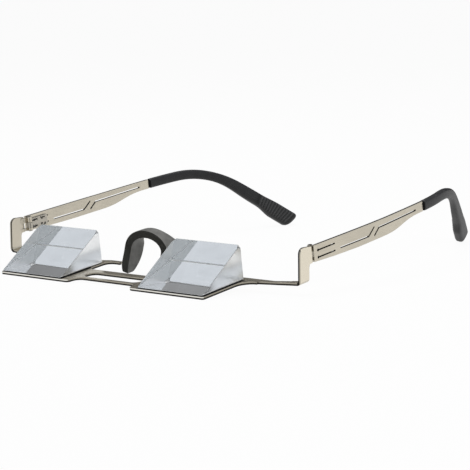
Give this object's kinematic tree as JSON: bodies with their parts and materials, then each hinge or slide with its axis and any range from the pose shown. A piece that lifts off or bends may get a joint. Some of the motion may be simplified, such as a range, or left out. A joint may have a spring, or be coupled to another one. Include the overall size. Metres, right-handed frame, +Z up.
{
  "type": "belay glasses",
  "caption": "Prism glasses for looking up a rope: wedge prisms on a stamped steel front, folding slotted temples, rubber nose saddle and ear tips.",
  "frame": {"origin": "middle of the overall box, on the surface it stands on", "axes": "+X to the wearer's left, +Y from the prisms back to the ear tips, +Z up"},
  "size_m": [0.1408, 0.1676, 0.0265],
  "materials": {
    "steel": "brushed",
    "clip_steel": "satin",
    "pin_steel": "polished",
    "glass": "polished",
    "mirror": "mirror",
    "bond": "matte",
    "saddle_rubber": "satin",
    "tip_rubber": "matte"
  },
  "bodies": {
    "front": {"front_frame": "steel", "prism_left": "glass", "prism_right": "glass", "mirror_coat_left": "mirror", "mirror_coat_right": "mirror", "bond_pad_left": "bond", "bond_pad_right": "bond", "nose_saddle": "saddle_rubber", "hinge_pin_left": "pin_steel", "hinge_pin_right": "pin_steel"},
    "temple_left_body": {"temple_left": "steel", "hinge_clip_left": "clip_steel", "ear_tip_left": "tip_rubber"},
    "temple_right_body": {"temple_right": "steel", "hinge_clip_right": "clip_steel", "ear_tip_right": "tip_rubber"}
  },
  "joints": [
    {"name": "temple_left_hinge", "type": "hinge", "parent": "front", "child": "temple_left_body", "pos_m": [0.06826, -0.04977, 0.01296], "axis": [0, -0.1229, 0.9924], "range_deg": [0, 85]},
    {"name": "temple_right_hinge", "type": "hinge", "parent": "front", "child": "temple_right_body", "pos_m": [-0.06826, -0.04977, 0.01296], "axis": [0, 0.1229, -0.9924], "range_deg": [0, 78]}
  ]
}
